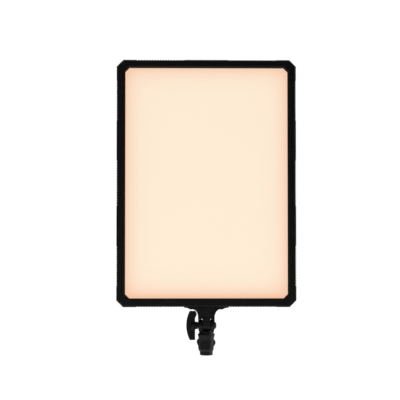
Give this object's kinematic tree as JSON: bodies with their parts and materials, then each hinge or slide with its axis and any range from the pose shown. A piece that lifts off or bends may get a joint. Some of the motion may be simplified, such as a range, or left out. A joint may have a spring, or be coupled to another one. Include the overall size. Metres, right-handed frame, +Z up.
{
  "type": "led panel light",
  "caption": "Rectangular LED panel light with an opal diffuser, finned rear housing, control panel and a tilting stand adapter with lock knob and tilt handle.",
  "frame": {"origin": "centre of the stand socket's mouth", "axes": "+Z up along the stand socket, light emitted towards -Y, +X to the right seen from the front"},
  "size_m": [0.35, 0.0646, 0.5758],
  "materials": {
    "shell_plastic": "fine-grained near-black ABS",
    "bezel_plastic": "satin near-black ABS",
    "bracket_metal": "black powder-coated cast alloy",
    "grip_plastic": "black textured nylon",
    "opal": "translucent opal sheet, lit",
    "white_plastic": "matt white",
    "circuit": "green circuit laminate",
    "aluminium": "black anodised",
    "steel": "black oxide",
    "brass": "turned",
    "nylon": "black nylon",
    "display": "smoked acrylic",
    "knob_plastic": "satin black",
    "cable_jacket": "flexible insulation"
  },
  "bodies": {
    "receiver": {"receiver_body": "bracket_metal", "pivot_bolt": "steel", "pivot_cap": "grip_plastic", "friction_washer_left": "nylon", "friction_washer_right": "nylon", "lock_insert": "brass"},
    "head": {"mount_bracket": "bracket_metal", "bracket_screw_1": "steel", "bracket_screw_2": "steel", "bracket_screw_3": "steel", "bracket_screw_4": "steel", "front_bezel": "bezel_plastic", "rear_shell": "shell_plastic", "shell_screw_1": "steel", "shell_screw_2": "steel", "shell_screw_3": "steel", "shell_screw_4": "steel", "shell_screw_5": "steel", "shell_screw_6": "steel", "shell_screw_7": "steel", "shell_screw_8": "steel", "diffuser": "opal", "reflector_frame": "white_plastic", "led_strip_1": "white_plastic", "led_strip_2": "white_plastic", "led_strip_3": "white_plastic", "led_strip_4": "white_plastic", "led_strip_5": "white_plastic", "led_strip_6": "white_plastic", "heat_sink": "aluminium", "driver_board": "circuit", "led_harness": "cable_jacket", "control_housing": "shell_plastic", "control_board": "circuit", "control_fascia": "bezel_plastic", "display_window": "display", "display_module": "circuit", "brightness_encoder": "steel", "colour_encoder": "steel", "mode_switch": "circuit", "switch_frame": "bezel_plastic", "power_inlet": "bezel_plastic"},
    "lock_pad": {"lock_pad": "nylon"},
    "lock_knob": {"lock_knob": "grip_plastic", "lock_screw": "steel"},
    "tilt_handle": {"tilt_handle": "grip_plastic", "handle_insert": "brass"},
    "brightness_knob": {"brightness_knob": "knob_plastic"},
    "colour_knob": {"colour_knob": "knob_plastic"},
    "mode_button": {"mode_button": "knob_plastic"},
    "power_rocker": {"power_rocker": "knob_plastic"}
  },
  "joints": [
    {"name": "panel_tilt", "type": "hinge", "parent": "receiver", "child": "head", "pos_m": [0, 0, 0.0578], "axis": [1, 0, 0], "range_deg": [-90, 90]},
    {"name": "tilt_handle_turn", "type": "hinge", "parent": "receiver", "child": "tilt_handle", "pos_m": [-0.024, 0, 0.0578], "axis": [1, 0, 0], "range_deg": [-180, 180]},
    {"name": "lock_screw_travel", "type": "slide", "parent": "receiver", "child": "lock_pad", "axis": [0, 1, 0], "range_m": [-0.00175, 0.00225]},
    {"name": "lock_knob_turn", "type": "hinge", "parent": "lock_pad", "child": "lock_knob", "pos_m": [0, 0.0275, 0.02], "axis": [0, 1, 0], "range_deg": [-421, 541]},
    {"name": "brightness_knob_turn", "type": "hinge", "parent": "head", "child": "brightness_knob", "pos_m": [0.054, 0.038, 0.1658], "axis": [0, 1, 0], "continuous": true},
    {"name": "colour_knob_turn", "type": "hinge", "parent": "head", "child": "colour_knob", "pos_m": [-0.054, 0.038, 0.1658], "axis": [0, 1, 0], "continuous": true},
    {"name": "mode_button_press", "type": "slide", "parent": "head", "child": "mode_button", "axis": [0, -1, 0], "range_m": [0, 0.0008], "stiffness_N_per_m": 1500},
    {"name": "power_rocker_tip", "type": "hinge", "parent": "head", "child": "power_rocker", "pos_m": [0.054, 0.03, 0.1278], "axis": [1, 0, 0], "range_deg": [-18, 0]}
  ],
  "couplings": [
    {"joint": "lock_knob_turn", "follows": "lock_screw_travel", "rad_per_m": 4188.8}
  ]
}
